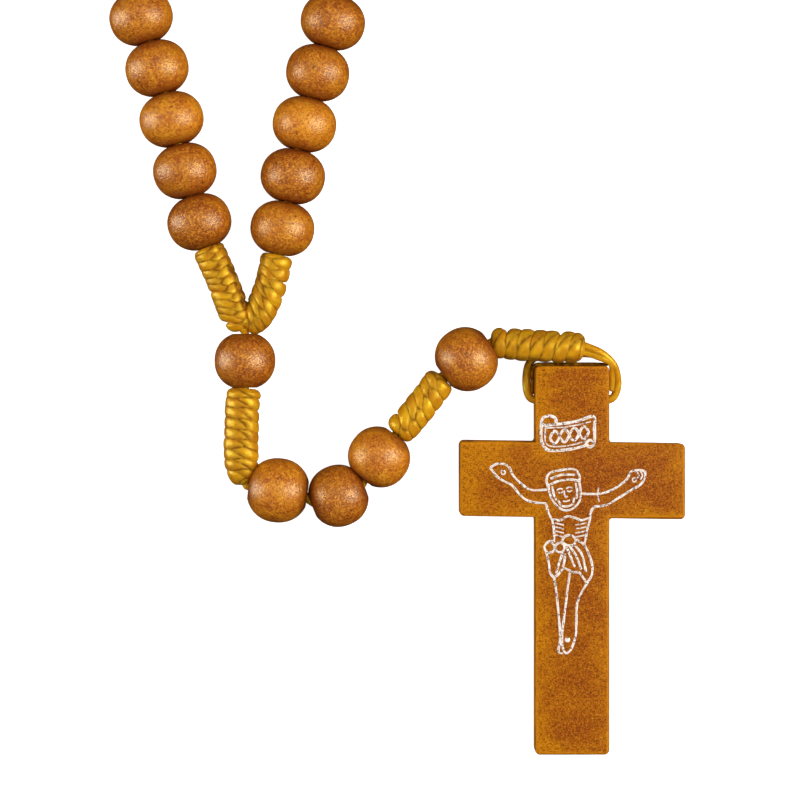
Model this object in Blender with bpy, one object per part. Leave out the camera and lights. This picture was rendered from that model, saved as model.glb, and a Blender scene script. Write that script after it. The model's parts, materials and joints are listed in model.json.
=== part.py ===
"""A five-decade rosary of turned wooden beads on a knotted satin cord, with a wooden cross.

It lies flat on a table: +Z is up, the table is z = 0, and the middle of the whole outline is x = y = 0.
The loop is a teardrop that opens towards +Y. The pendant and its cross are at -Y.
All lengths here are in millimetres. The scene is in metres, and UNIT turns one into the other.
"""

import math

import bmesh
import bpy
import numpy as np
from mathutils import Matrix, Vector

UNIT = 0.001

# Beads: diameter across the bore, then length along it.
LOOP_BEAD = (8.0, 6.3)
OUR_FATHER_BEAD = (8.1, 7.0)
CENTRE_BEAD = (7.6, 6.7)
PENDANT_BEADS = ((8.0, 7.1), (7.7, 6.7), (7.7, 6.6))
BEAD_BORE_RADIUS = 0.85
CENTRE_BORE_RADIUS = 1.3
BEAD_ROUNDNESS = 2.2
BEAD_SIDES = 12
# Heights of the rings that make a bead's outline, as shares of half its length.
BEAD_RINGS = (0.84, 0.45, 0, -0.45, -0.84)
# The waist between two beads of a pair: how far it stands out of the bore, and half its length.
PAIR_WAIST = 0.35
PAIR_WAIST_HALF_LENGTH = 0.15

# Cord: the core is the bare cord, and a knot is that cord wound round itself.
CORE_RADIUS = 0.55
KNOT_RADIUS = 2.0
CORD_HEIGHT = 4.05
PIECE_GAP = 0.35
HINGE_GAP = 0.25
FOLD_GAP = 0.8

# Each loop bead takes this much of the cord, with its gap.
BEAD_PITCH = LOOP_BEAD[1] + PIECE_GAP
OUR_FATHER_PITCH = OUR_FATHER_BEAD[1] + PIECE_GAP

# Each side of the loop: the knot above the centre bead, then two and a half decades, with an Our Father
# bead between two knots after each whole one. All but the first knot share the length that is left.
RIGHT_FIRST_KNOT = 10.35
LEFT_FIRST_KNOT = 11.25
KNOT_TAPER = 1.8
FIRST_KNOT_TAPER = 3.2
SIDE_BEADS = 25
SIDE_OUR_FATHERS = 2
SIDE_FOLDS = 3
SIDE_LATER_KNOTS = 4

# The two strands meet in the centre bead's mouth, this far above its middle.
MOUTH_RISE = 3.2
MOUTH_CORD_RADIUS = 0.7
MOUTH_STRAND_RADIUS = 0.6

# Cross, measured from its cord hole.
CROSS_HOLE_AT = (41.7, -82.0)
CROSS_THICKNESS = 4.8
CROSS_TOP = 4.3
CROSS_BOTTOM = -44.3
UPRIGHT_HALF_WIDTH = 4.65
ARM_HALF_SPAN = 14.1
ARM_TOP = -5.2
ARM_BOTTOM = -14.7
ARM_DROP = 0.22
CROSS_CORNER = 0.65
CROSS_EDGE = 0.4
CROSS_HOLE_RADIUS = 1.0

# The loop's two sides, each from the centre bead's mouth to the top of the loop, as (x, y).
TOP_OF_LOOP = (0, 122.4)
RIGHT_SIDE = (
    (0.95, -73.2), (2.3, -71.6), (3.9, -68.0), (5.46, -60.7), (8.2, -47.6), (11.8, -34.7),
    (19.5, -14), (31, 8), (43.5, 30), (54, 55), (55.5, 80), (44, 105), (22, 119), TOP_OF_LOOP,
)
LEFT_SIDE = (
    (0.65, -73.2), (-0.2, -71.7), (-1.9, -67.3), (-4.96, -59.9), (-8.3, -47.0), (-12.1, -34.3),
    (-19.5, -14), (-31, 8), (-43.5, 30), (-54, 55), (-55.5, 80), (-44, 105), (-22, 119), TOP_OF_LOOP,
)

# Beads of the pendant: where each centre lies, and the direction of its bore in degrees from +X.
CENTRE_BEAD_AT = ((0.81, -77.1), -90)
PENDANT_BEADS_AT = (((4.96, -93.3), -8), ((12.5, -93.98), 21), ((17.58, -89.12), 53))
PENDANT_OUR_FATHER_AT = ((28.5, -76.9), 35)

# Bends of the pendant, where one stiff stretch of it ends and the next begins.
BEND_BELOW_CENTRE = (0.75, -80.85)
BEND_ABOVE_BEADS = (1.1, -92.7)
BEND_BEADS_1_2 = (8.9, -94.5)
BEND_BEADS_2_3 = (15.6, -92.25)
BEND_BELOW_MIDDLE_KNOT = (19.85, -86.15)
BEND_ABOVE_MIDDLE_KNOT = (25.3, -79.15)
BEND_BELOW_CROSS_KNOT = (31.75, -74.75)
BEND_AT_RING = (43.5, -75.5)

# Pendant knots, as (x, y, radius) along the middle of each.
UPPER_KNOT = (
    (0.72, -81.15, 0.55), (0.6, -81.9, 1.6), (0.5, -83.0, 2.1), (0.4, -86.0, 2.15),
    (0.35, -89.0, 2.0), (0.4, -90.5, 1.4), (0.65, -91.7, 0.9), (0.95, -92.4, 0.55),
)
MIDDLE_KNOT = (
    (20.05, -85.95, 0.55), (20.6, -85.4, 1.5), (21.4, -84.5, 2.0), (23.0, -82.6, 2.05),
    (24.4, -80.7, 2.0), (24.85, -79.95, 1.4), (25.15, -79.4, 0.55),
)
CROSS_KNOT = (
    (32.05, -74.75, 0.55), (32.7, -74.8, 1.4), (33.7, -74.95, 1.9), (37.0, -75.15, 1.95),
    (40.5, -75.3, 1.95), (42.3, -75.4, 1.6), (43.2, -75.45, 0.9),
)

# The ring of cord through the cross, as (x, y, height). x and y run from the cross's hole, and height from
# the table.
RING = (
    (2.1, 6.0, 3.5), (3.2, 5.7, 3.3), (4.0, 5.55, 2.6), (3.95, 5.6, 1.6), (3.2, 5.8, 0.85), (1.8, 6.0, 0.65),
    (-1.0, 6.1, 0.62), (-3.2, 5.9, 0.75), (-4.6, 5.45, 1.25), (-5.4, 4.6, 1.85), (-5.65, 3.2, 2.3),
    (-5.62, 1.7, 2.4), (-5.5, 0.85, 2.4), (-5.15, 0.25, 2.4), (-4.5, 0.0, 2.4), (-2.5, 0.0, 2.4),
    (2.5, 0.0, 2.4), (4.5, 0.0, 2.4), (5.15, 0.25, 2.4), (5.5, 0.85, 2.4), (5.65, 1.7, 2.4), (5.72, 3.2, 2.55),
    (5.5, 4.6, 2.85), (4.7, 5.75, 3.4), (3.4, 6.65, 4.05), (2.1, 7.05, 4.45),
)


def clear_scene():
    for thing in list(bpy.data.objects):
        bpy.data.objects.remove(thing, do_unlink=True)


def make_material(name, colour, roughness):
    material = bpy.data.materials.new(name)
    material.use_nodes = True
    shader = material.node_tree.nodes["Principled BSDF"]
    shader.inputs["Base Color"].default_value = (*colour, 1)
    shader.inputs["Roughness"].default_value = roughness
    shader.inputs["Metallic"].default_value = 0
    return material


# Places and hinges


def point(place, height=CORD_HEIGHT):
    """A place on the table, raised to a height, as a vector in metres."""
    return Vector((place[0], place[1], height)) * UNIT


def make_hinge(name, at, parent=None):
    """An empty on a joint's axis. What moves with the joint is its child."""
    hinge = bpy.data.objects.new(name, None)
    hinge.empty_display_size = 2 * UNIT
    bpy.context.scene.collection.objects.link(hinge)
    hinge.parent = parent
    hinge.location = at - (world_place(parent) if parent else Vector())
    return hinge


def world_place(hinge):
    """Where an empty stands. No empty is turned or scaled, so the locations up its line add up."""
    place = hinge.location.copy()
    while hinge.parent:
        hinge = hinge.parent
        place += hinge.location
    return place


def put(obj, hinge, at=None):
    """Hangs an object on a hinge, at a place in the world or with its mesh where it is."""
    obj.parent = hinge
    obj.location = (at or Vector()) - world_place(hinge)


# Routes of the cord


class Route:
    """A smooth line through a list of points, read by its length from the start."""

    STEPS = 24

    def __init__(self, places):
        through = np.array(places, float)
        ends = 2 * through[0] - through[1], 2 * through[-1] - through[-2]
        through = np.vstack([ends[0], through, ends[1]])
        spans = [self.span(*through[i : i + 4]) for i in range(len(through) - 3)]
        self.places = np.vstack([*spans, through[-2:-1]])
        steps = np.linalg.norm(np.diff(self.places, axis=0), axis=1)
        self.lengths = np.concatenate([[0], steps.cumsum()])
        self.length = float(self.lengths[-1])

    def span(self, before, start, end, after):
        """Points from start to just before end, on a centripetal Catmull-Rom curve."""
        gaps = [math.sqrt(np.linalg.norm(b - a)) for a, b in ((before, start), (start, end), (end, after))]
        t0, t1, t2, t3 = np.concatenate([[0], np.cumsum(gaps)])
        t = np.linspace(t1, t2, self.STEPS, endpoint=False)[:, None]
        a1 = ((t1 - t) * before + (t - t0) * start) / (t1 - t0)
        a2 = ((t2 - t) * start + (t - t1) * end) / (t2 - t1)
        a3 = ((t3 - t) * end + (t - t2) * after) / (t3 - t2)
        b1 = ((t2 - t) * a1 + (t - t0) * a2) / (t2 - t0)
        b2 = ((t3 - t) * a2 + (t - t1) * a3) / (t3 - t1)
        return ((t2 - t) * b1 + (t - t1) * b2) / (t2 - t1)

    def at(self, length):
        return tuple(float(np.interp(length, self.lengths, column)) for column in self.places.T)


# Beads


def bead_outline(diameter, length, bore):
    """(radius, height) down the outer side of a bead, from the rim of its bore to the other rim."""
    radius = diameter / 2
    half = length / 2
    rim = (1 - (bore / radius) ** BEAD_ROUNDNESS) ** (1 / BEAD_ROUNDNESS) * half
    outline = [(bore, rim)]
    for share in BEAD_RINGS:
        height = share * half
        outline.append((radius * (1 - abs(share) ** BEAD_ROUNDNESS) ** (1 / BEAD_ROUNDNESS), height))
    return [*outline, (bore, -rim)]


def turned_mesh(name, outline):
    """Turns an outline round Z. The straight line that joins its two ends becomes the bore."""
    bm = bmesh.new()
    turns = [2 * math.pi * i / BEAD_SIDES for i in range(BEAD_SIDES)]
    rings = [
        [bm.verts.new((r * UNIT * math.cos(t), r * UNIT * math.sin(t), z * UNIT)) for t in turns]
        for r, z in outline
    ]
    for upper, lower in zip(rings, rings[1:] + rings[:1]):
        for i in range(BEAD_SIDES):
            j = (i + 1) % BEAD_SIDES
            bm.faces.new((upper[i], lower[i], lower[j], upper[j]))
    mesh = bpy.data.meshes.new(name)
    bm.to_mesh(mesh)
    bm.free()
    mesh.shade_smooth()
    mesh.set_sharp_from_angle(angle=math.radians(50))
    return mesh


def single_mesh(name, size, bore=BEAD_BORE_RADIUS):
    return turned_mesh(name, bead_outline(*size, bore))


def pair_mesh(name, size, bore=BEAD_BORE_RADIUS):
    """Two loop beads that share a node: their rims meet, and one bore runs through both."""
    outline = bead_outline(*size, bore)
    waist = [(bore + PAIR_WAIST, PAIR_WAIST_HALF_LENGTH), (bore + PAIR_WAIST, -PAIR_WAIST_HALF_LENGTH)]
    rise = BEAD_PITCH / 2
    upper = [(r, z + rise) for r, z in outline[:-1]]
    lower = [(r, z - rise) for r, z in outline[1:]]
    return turned_mesh(name, [*upper, *waist, *lower])


def place_bead(name, mesh, material, hinge, start, end):
    """A bead whose bore runs along the line from start to end, halfway between them."""
    bead = bpy.data.objects.new(name, mesh.copy())
    bead.data.materials.append(material)
    bpy.context.scene.collection.objects.link(bead)
    along = (end - start).normalized()
    up = Vector((0, 0, 1))
    # The bead's own X points up, so that one of its corners rests on the table.
    turn = Matrix((up, along.cross(up), along)).transposed()
    bead.rotation_euler = turn.to_euler()
    put(bead, hinge, (start + end) / 2)
    return bead


def place_bead_at(name, mesh, material, hinge, place, degrees):
    """A bead by its centre and the direction of its bore on the table."""
    along = Vector((math.cos(math.radians(degrees)), math.sin(math.radians(degrees)), 0)) * UNIT
    return place_bead(name, mesh, material, hinge, point(place) - along, point(place) + along)


# Cord


def cord_curve(name, stations, material):
    """A round cord through (place in metres, radius in millimetres) stations, with closed ends."""
    curve = bpy.data.curves.new(name, "CURVE")
    curve.dimensions = "3D"
    curve.bevel_depth = UNIT
    curve.bevel_resolution = 2
    curve.use_fill_caps = True
    spline = curve.splines.new("POLY")
    spline.points.add(len(stations) - 1)
    for knot, (place, radius) in zip(spline.points, stations):
        knot.co = (*place, 1)
        knot.radius = radius
    cord = bpy.data.objects.new(name, curve)
    cord.data.materials.append(material)
    bpy.context.scene.collection.objects.link(cord)
    return cord


def knot_stations(route, start, end, taper):
    """A wound knot between two places on a route: thin ends, shoulders and a full middle.

    Its stations are (length from its start, radius). The taper is the length of the first shoulder."""
    length = end - start
    shape = (
        (0.25 * taper, 0.6), (0.55 * taper, 1.25), (taper, 0.95 * KNOT_RADIUS), (length / 2, KNOT_RADIUS),
        (length - KNOT_TAPER, 0.95 * KNOT_RADIUS), (length - 1.0, 1.4), (length - 0.45, 0.6),
    )
    return [(point(route.at(start + along)), radius) for along, radius in shape]


def moved_towards(start, end, distance):
    return start + (end - start).normalized() * distance * UNIT


class LoopSide:
    """One side of the loop, walked from the centre bead up to the top of the loop."""

    def __init__(self, places, first_knot):
        self.route = Route(places)
        self.here = 0.0
        self.stations = []
        self.tie(first_knot, FIRST_KNOT_TAPER)
        beads = SIDE_BEADS * BEAD_PITCH + SIDE_OUR_FATHERS * OUR_FATHER_PITCH
        left_over = self.route.length - first_knot - beads - SIDE_FOLDS * FOLD_GAP
        self.knot = left_over / SIDE_LATER_KNOTS

    def point(self, length):
        return point(self.route.at(length))

    def thread(self, length):
        """Takes a straight piece of this length, and gives its two ends."""
        ends = self.point(self.here), self.point(self.here + length)
        self.here += length
        self.stations.append((ends[1], CORE_RADIUS))
        return ends

    def tie(self, length, taper=KNOT_TAPER):
        self.stations += knot_stations(self.route, self.here, self.here + length, taper)
        self.here += length
        self.stations.append((self.point(self.here), CORE_RADIUS))

    def fold(self):
        """Ends this stretch of cord, and starts the next across a fold. Gives the fold's place."""
        done = self.stations
        at = self.point(self.here + FOLD_GAP / 2)
        done[-1] = (moved_towards(at, done[-1][0], HINGE_GAP), CORE_RADIUS)
        self.here += FOLD_GAP
        after = self.point(self.here)
        self.stations = [(moved_towards(at, after, HINGE_GAP), CORE_RADIUS)]
        return done, at


# Cross


def cross_outline():
    """The corners of the cross from its hole, with the arms dropping slightly to the right."""
    w, a = UPRIGHT_HALF_WIDTH, ARM_HALF_SPAN
    drop = ARM_DROP * w / a
    return (
        (-w, CROSS_TOP), (-w, ARM_TOP + drop), (-a, ARM_TOP + ARM_DROP), (-a, ARM_BOTTOM + ARM_DROP),
        (-w, ARM_BOTTOM + drop), (-w, CROSS_BOTTOM), (w, CROSS_BOTTOM), (w, ARM_BOTTOM - drop),
        (a, ARM_BOTTOM - ARM_DROP), (a, ARM_TOP - ARM_DROP), (w, ARM_TOP - drop), (w, CROSS_TOP),
    )


def rounded_corners(corners, radius, steps=3):
    """The outline with each outward corner turned into a short arc. The outline runs anticlockwise."""
    done = []
    count = len(corners)
    for i, corner in enumerate(corners):
        here = Vector(corner)
        back = (Vector(corners[i - 1]) - here).normalized()
        on = (Vector(corners[(i + 1) % count]) - here).normalized()
        if back.cross(on) > 0:
            done.append(here)
            continue
        middle = here + (back + on) * radius
        for k in range(steps + 1):
            angle = math.pi / 2 * k / steps
            done.append(middle - (on * math.cos(angle) + back * math.sin(angle)) * radius)
    return done


def make_cross(material, hinge):
    corners = rounded_corners(cross_outline(), CROSS_CORNER)
    bm = bmesh.new()
    base = bm.faces.new([bm.verts.new((x * UNIT, y * UNIT, 0)) for x, y in corners])
    raised = bmesh.ops.extrude_face_region(bm, geom=[base])["geom"]
    top = [v for v in raised if isinstance(v, bmesh.types.BMVert)]
    bmesh.ops.translate(bm, verts=top, vec=(0, 0, CROSS_THICKNESS * UNIT))
    bmesh.ops.translate(bm, verts=bm.verts[:], vec=(0, 0, -CROSS_THICKNESS / 2 * UNIT))
    bmesh.ops.recalc_face_normals(bm, faces=bm.faces[:])
    mesh = bpy.data.meshes.new("cross")
    bm.to_mesh(mesh)
    bm.free()
    cross = bpy.data.objects.new("cross", mesh)
    cross.data.materials.append(material)
    bpy.context.scene.collection.objects.link(cross)
    put(cross, hinge, point(CROSS_HOLE_AT, CROSS_THICKNESS / 2))
    edge = cross.modifiers.new("soft edges", "BEVEL")
    edge.width = CROSS_EDGE * UNIT
    edge.segments = 1
    edge.limit_method = "ANGLE"
    edge.angle_limit = math.radians(60)
    drill = make_drill(hinge)
    hole = cross.modifiers.new("cord hole", "BOOLEAN")
    hole.object = drill
    hole.operation = "DIFFERENCE"
    return cross


def make_drill(hinge):
    """The bar that cuts the cord hole, across the upright from side to side."""
    bm = bmesh.new()
    bmesh.ops.create_cone(
        bm, cap_ends=True, segments=16, radius1=CROSS_HOLE_RADIUS * UNIT, radius2=CROSS_HOLE_RADIUS * UNIT,
        depth=4 * UPRIGHT_HALF_WIDTH * UNIT,
    )
    bmesh.ops.rotate(bm, verts=bm.verts[:], matrix=Matrix.Rotation(math.pi / 2, 3, "Y"))
    mesh = bpy.data.meshes.new("drill")
    bm.to_mesh(mesh)
    bm.free()
    drill = bpy.data.objects.new("drill", mesh)
    drill.hide_render = True
    drill.display_type = "WIRE"
    bpy.context.scene.collection.objects.link(drill)
    put(drill, hinge, point(CROSS_HOLE_AT, CROSS_THICKNESS / 2))
    return drill


# Assembly


def build_loop(wood, satin):
    """The loop in four stretches that fold on one another. Gives the hinge of the first."""
    bead, pair = single_mesh("loop_bead", LOOP_BEAD), pair_mesh("loop_bead_pair", LOOP_BEAD)
    our_father = single_mesh("our_father_bead", OUR_FATHER_BEAD)
    front = make_hinge("loop_front", point(BEND_BELOW_CENTRE))
    right, left = LoopSide(RIGHT_SIDE, RIGHT_FIRST_KNOT), LoopSide(LEFT_SIDE, LEFT_FIRST_KNOT)
    sides = ((right, 1, "right"), (left, 5, "left"))

    for side, decade, _ in sides:
        for n in range(1, 6):
            place_bead(f"decade_{decade}_bead_{n:02d}", bead, wood, front, *side.thread(BEAD_PITCH))
    (right_cord, right_at), (left_cord, left_at) = right.fold(), left.fold()
    make_junction_cord(right_cord, left_cord, satin, front)

    lower = make_hinge("loop_lower", (right_at + left_at) / 2, front)
    for side, decade, _ in sides:
        for n in range(6, 11):
            place_bead(f"decade_{decade}_bead_{n:02d}", bead, wood, lower, *side.thread(BEAD_PITCH))
        side.tie(side.knot)
        name = "our_father_bead_2" if decade == 1 else "our_father_bead_5"
        place_bead(name, our_father, wood, lower, *side.thread(OUR_FATHER_PITCH))
        side.tie(side.knot)
    folds = []
    for side, _, name in sides:
        cord, at = side.fold()
        put(cord_curve(f"loop_cord_lower_{name}", cord, satin), lower)
        folds.append(at)

    upper = make_hinge("loop_upper", sum(folds, Vector()) / 2, lower)
    folds = []
    for side, decade, name in sides:
        inner = 2 if decade == 1 else 4
        for n in range(1, 9, 2):
            label = f"decade_{inner}_beads_{n:02d}_{n + 1:02d}"
            place_bead(label, pair, wood, upper, *side.thread(2 * BEAD_PITCH))
        cord, at = side.fold()
        put(cord_curve(f"loop_cord_upper_{name}", cord, satin), upper)
        folds.append(at)

    top = make_hinge("loop_top", sum(folds, Vector()) / 2, upper)
    for side, decade, _ in sides:
        inner = 2 if decade == 1 else 4
        place_bead(f"decade_{inner}_beads_09_10", pair, wood, top, *side.thread(2 * BEAD_PITCH))
        side.tie(side.knot)
        name = "our_father_bead_3" if decade == 1 else "our_father_bead_4"
        place_bead(name, our_father, wood, top, *side.thread(OUR_FATHER_PITCH))
        side.tie(side.knot)
        for n in (1, 3):
            first = n if decade == 1 else 10 - n
            label = f"decade_3_beads_{first:02d}_{first + 1:02d}"
            place_bead(label, pair, wood, top, *side.thread(2 * BEAD_PITCH))
    last_ends = right.point(right.here), left.point(left.here)
    place_bead("decade_3_beads_05_06", pair, wood, top, *last_ends)
    put(cord_curve("loop_cord_top", right.stations + left.stations[::-1], satin), top)
    return front


def make_junction_cord(right_cord, left_cord, satin, hinge):
    """The two sides of the loop meet in the mouth of the centre bead and run on through it as one."""
    bead_middle = point(CENTRE_BEAD_AT[0])
    end = moved_towards(point(BEND_BELOW_CENTRE), bead_middle, HINGE_GAP)
    mouth = bead_middle + Vector((0, MOUTH_RISE, 0)) * UNIT
    through = [(end, CORE_RADIUS), (mouth, MOUTH_CORD_RADIUS), (point(LEFT_SIDE[0]), MOUTH_STRAND_RADIUS)]
    branch = [(mouth, MOUTH_STRAND_RADIUS), (point(RIGHT_SIDE[0]), CORE_RADIUS)]
    junction = cord_curve("junction_cord", through + left_cord, satin)
    other = cord_curve("right_strand", branch + right_cord, satin)
    put(junction, hinge)
    put(other, hinge)
    for cord in (junction, other):
        swap_for_mesh(cord)
    join = bpy.data.objects["junction_cord"].modifiers.new("join strands", "BOOLEAN")
    join.object = bpy.data.objects["right_strand"]
    join.operation = "UNION"
    join.object.hide_render = True
    join.object.display_type = "WIRE"


def swap_for_mesh(curve_object):
    """Puts a mesh of the same name in place of a curve, because a Boolean works on meshes only."""
    bpy.context.view_layer.update()
    graph = bpy.context.evaluated_depsgraph_get()
    mesh = bpy.data.meshes.new_from_object(curve_object.evaluated_get(graph))
    bm = bmesh.new()
    bm.from_mesh(mesh)
    bmesh.ops.remove_doubles(bm, verts=bm.verts[:], dist=0.001 * UNIT)
    bmesh.ops.recalc_face_normals(bm, faces=bm.faces[:])
    bm.to_mesh(mesh)
    bm.free()
    name, parent, location = curve_object.name, curve_object.parent, curve_object.location.copy()
    bpy.data.objects.remove(curve_object, do_unlink=True)
    solid = bpy.data.objects.new(name, mesh)
    solid.parent, solid.location = parent, location
    bpy.context.scene.collection.objects.link(solid)


def build_pendant(wood, satin, front):
    """The pendant, from the centre bead to the cross, as a chain of short stiff stretches."""
    centre = single_mesh("centre_bead", CENTRE_BEAD, CENTRE_BORE_RADIUS)
    place_bead_at("centre_bead", centre, wood, front, *CENTRE_BEAD_AT)

    hinge = make_hinge("upper_knot_bend", point(BEND_BELOW_CENTRE), front)
    put(pendant_knot("upper_knot", UPPER_KNOT, satin), hinge)

    bends = (BEND_ABOVE_BEADS, BEND_BEADS_1_2, BEND_BEADS_2_3)
    for n, (bend, size, at) in enumerate(zip(bends, PENDANT_BEADS, PENDANT_BEADS_AT), 1):
        hinge = make_hinge(f"pendant_bend_{n}", point(bend), hinge)
        bead_on_core(f"pendant_bead_{n}", f"bead_cord_{n}", size, at, wood, satin, hinge)

    hinge = make_hinge("middle_knot_bend", point(BEND_BELOW_MIDDLE_KNOT), hinge)
    put(pendant_knot("middle_knot", MIDDLE_KNOT, satin), hinge)

    hinge = make_hinge("our_father_bend", point(BEND_ABOVE_MIDDLE_KNOT), hinge)
    names = "our_father_bead_1", "bead_cord_4"
    bead_on_core(*names, OUR_FATHER_BEAD, PENDANT_OUR_FATHER_AT, wood, satin, hinge)

    hinge = make_hinge("cross_knot_bend", point(BEND_BELOW_CROSS_KNOT), hinge)
    put(pendant_knot("cross_knot", CROSS_KNOT, satin), hinge)
    return hinge


def pendant_knot(name, shape, satin):
    return cord_curve(name, [(point((x, y)), radius) for x, y, radius in shape], satin)


def bead_on_core(bead_name, cord_name, size, at, wood, satin, hinge):
    """A bead, and the straight bit of cord that runs through it and stands just out of its bore."""
    bead = place_bead_at(bead_name, single_mesh(bead_name, size), wood, hinge, *at)
    along = bead.rotation_euler.to_matrix() @ Vector((0, 0, 1))
    reach = along * (size[1] / 2 + 0.1) * UNIT
    middle = point(at[0])
    put(cord_curve(cord_name, [(middle - reach, CORE_RADIUS), (middle + reach, CORE_RADIUS)], satin), hinge)


def build_cross(wood, satin, knot_hinge):
    ring_hinge = make_hinge("ring_bend", point(BEND_AT_RING), knot_hinge)
    x, y = CROSS_HOLE_AT
    stations = [(point((x + dx, y + dy), height), CORE_RADIUS) for dx, dy, height in RING]
    put(cord_curve("cross_ring", stations, satin), ring_hinge)
    cross_hinge = make_hinge("cross_swing", point(CROSS_HOLE_AT, CROSS_THICKNESS / 2), ring_hinge)
    make_cross(wood, cross_hinge)


def main():
    clear_scene()
    bead_wood = make_material("bead_wood", (0.45, 0.17, 0.045), 0.4)
    cross_wood = make_material("cross_wood", (0.42, 0.16, 0.02), 0.5)
    satin = make_material("satin_cord", (0.66, 0.38, 0.04), 0.35)
    front = build_loop(bead_wood, satin)
    knot_hinge = build_pendant(bead_wood, satin, front)
    build_cross(cross_wood, satin, knot_hinge)
    bpy.context.view_layer.update()


main()
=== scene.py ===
"""Looks for the rosary: varnished wooden beads, wound satin knots, and a wooden cross with a foil print.

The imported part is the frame. Beads take their places from its nodes and joints, and every piece rides on
its bodies. Lengths are in millimetres here, and UNIT turns them into Blender's metres.
"""

import json
import math

import bmesh
import bpy
import numpy as np
from mathutils import Matrix, Vector

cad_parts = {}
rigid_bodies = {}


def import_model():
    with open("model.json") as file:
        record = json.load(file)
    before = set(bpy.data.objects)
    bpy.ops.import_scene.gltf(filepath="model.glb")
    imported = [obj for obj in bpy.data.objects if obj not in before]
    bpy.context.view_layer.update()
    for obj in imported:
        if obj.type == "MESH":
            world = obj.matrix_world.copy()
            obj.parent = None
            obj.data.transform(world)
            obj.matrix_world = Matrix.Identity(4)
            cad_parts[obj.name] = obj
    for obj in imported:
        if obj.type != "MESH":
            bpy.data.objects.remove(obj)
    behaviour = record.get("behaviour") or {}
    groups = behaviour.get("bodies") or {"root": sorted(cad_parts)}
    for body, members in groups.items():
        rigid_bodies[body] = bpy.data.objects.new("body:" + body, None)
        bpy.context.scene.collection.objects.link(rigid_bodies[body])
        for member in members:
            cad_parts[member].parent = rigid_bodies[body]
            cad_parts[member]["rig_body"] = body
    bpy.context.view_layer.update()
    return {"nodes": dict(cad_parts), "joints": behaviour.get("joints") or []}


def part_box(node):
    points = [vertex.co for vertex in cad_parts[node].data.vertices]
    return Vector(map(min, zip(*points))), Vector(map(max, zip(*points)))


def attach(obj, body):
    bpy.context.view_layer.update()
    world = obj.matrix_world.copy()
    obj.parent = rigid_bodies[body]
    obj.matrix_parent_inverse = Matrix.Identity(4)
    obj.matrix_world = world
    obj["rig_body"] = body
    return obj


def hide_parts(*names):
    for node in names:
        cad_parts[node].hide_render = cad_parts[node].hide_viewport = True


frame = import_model()

UNIT = 0.001
UP = np.array((0.0, 0.0, 1.0))
JOINTS = {joint["name"]: joint for joint in frame["joints"]}

# Beads: diameter across the bore, then length along it.
LOOP_BEAD = (8.06, 6.6)
OUR_FATHER_BEAD = (8.15, 7.15)
CENTRE_BEAD = (7.65, 6.8)
PENDANT_BEADS = ((8.1, 7.35), (7.75, 6.95), (7.8, 6.95))
BEAD_PITCH = 6.65
# A bead is a rounded shape, this much longer than the bead itself before its two ends are cut flat.
BEAD_ROUNDNESS = 2.15
BEAD_UNCUT = 1.07
BORE_RADIUS = 0.72
BORE_LIP = 0.25
BEAD_ROWS = 29
BEAD_SIDES = 64

# How light or dark the beads that stand out are, from 0, dark, to 1, pale.
BEAD_TONES = {
    "decade_5_bead_01": 0.25, "decade_5_bead_02": 0.45, "decade_5_bead_03": 0.85, "decade_5_bead_04": 0.6,
    "decade_5_bead_05": 0.55, "decade_1_bead_01": 0.6, "decade_1_bead_02": 0.35, "decade_1_bead_03": 1.0,
    "decade_1_bead_04": 0.55, "decade_1_bead_05": 0.45, "centre_bead": 0.25, "pendant_bead_1": 0.75,
    "pendant_bead_2": 0.3, "pendant_bead_3": 0.85, "our_father_bead_1": 0.45,
}

# Cord: bare, and wound into a knot.
CORD_RADIUS = 0.55
CORD_HEIGHT = 4.05
KNOT_RADIUS = 2.0
TURN_RISE = 0.36
FIRST_KNOT_RADIUS = 1.95
# The loop's first knots reach this far past the next bead's end face, and the others stop this far short.
FIRST_KNOT_REACH = 0.12
KNOT_CLEARANCE = 0.05
# Bare cord at each place where the loop folds.
FOLD_GAP = 0.8
CENTRE_STUB = 3.2

# The loop's two sides, each from the centre bead's mouth to the top of the loop, as (x, y). Their upper
# parts mirror each other.
UPPER_SIDE = ((19.5, -14), (31, 8), (43.5, 30), (54, 55), (55.5, 80), (44, 105), (22, 119), (0, 122.4))
RIGHT_SIDE = (
    (0.95, -73.2), (2.3, -71.6), (3.9, -68.0), (5.46, -60.7), (8.2, -47.6), (11.8, -34.7), *UPPER_SIDE,
)
LEFT_SIDE = (
    (0.65, -73.2), (-0.2, -71.7), (-1.9, -67.3), (-4.96, -59.9), (-8.3, -47.0), (-12.1, -34.3),
    *((-x, y) for x, y in UPPER_SIDE),
)

# Middle lines of the pendant's knots, as (x, y).
UPPER_KNOT = ((0.75, -80.85), (0.5, -83.0), (0.4, -86.0), (0.35, -89.0), (0.65, -91.7), (1.1, -92.7))
MIDDLE_KNOT = ((19.85, -86.15), (21.4, -84.5), (23.0, -82.6), (24.4, -80.7), (25.3, -79.15))
CROSS_KNOT = ((31.75, -74.75), (33.7, -74.95), (37.0, -75.2), (40.5, -75.35), (43.5, -75.55))

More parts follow.
